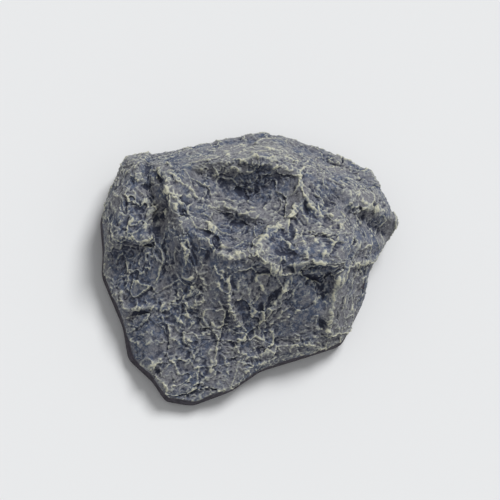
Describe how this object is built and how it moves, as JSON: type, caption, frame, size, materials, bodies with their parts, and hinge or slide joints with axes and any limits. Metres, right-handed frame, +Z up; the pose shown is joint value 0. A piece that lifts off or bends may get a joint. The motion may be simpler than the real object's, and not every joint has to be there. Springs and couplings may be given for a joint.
{
  "type": "key hiding rock",
  "caption": "Hollow stone-look garden rock with a flat underside, a moulded key box and a sliding door beneath.",
  "frame": {"origin": "middle of the rock's outline, on the ground that its flat foot stands on", "axes": "+X along the rock's length, the way the door slides open; +Y across it, towards the high back edge; +Z up out of the flat foot"},
  "size_m": [0.088, 0.0832, 0.0331],
  "materials": {
    "cast_stone": "cast filled resin, painted slate grey with pale dry-brushed ridges",
    "box_plastic": "moulded, fine matt",
    "door_plastic": "moulded, fine matt",
    "bonding_paste": "set two-part paste"
  },
  "bodies": {
    "rock": {"rock_body": "cast_stone", "key_box": "box_plastic", "epoxy_bed": "bonding_paste"},
    "door": {"slide_door": "door_plastic"}
  },
  "joints": [
    {"name": "door_slide", "type": "slide", "parent": "rock", "child": "door", "axis": [1, 0, 0], "range_m": [0, 0.06]}
  ]
}
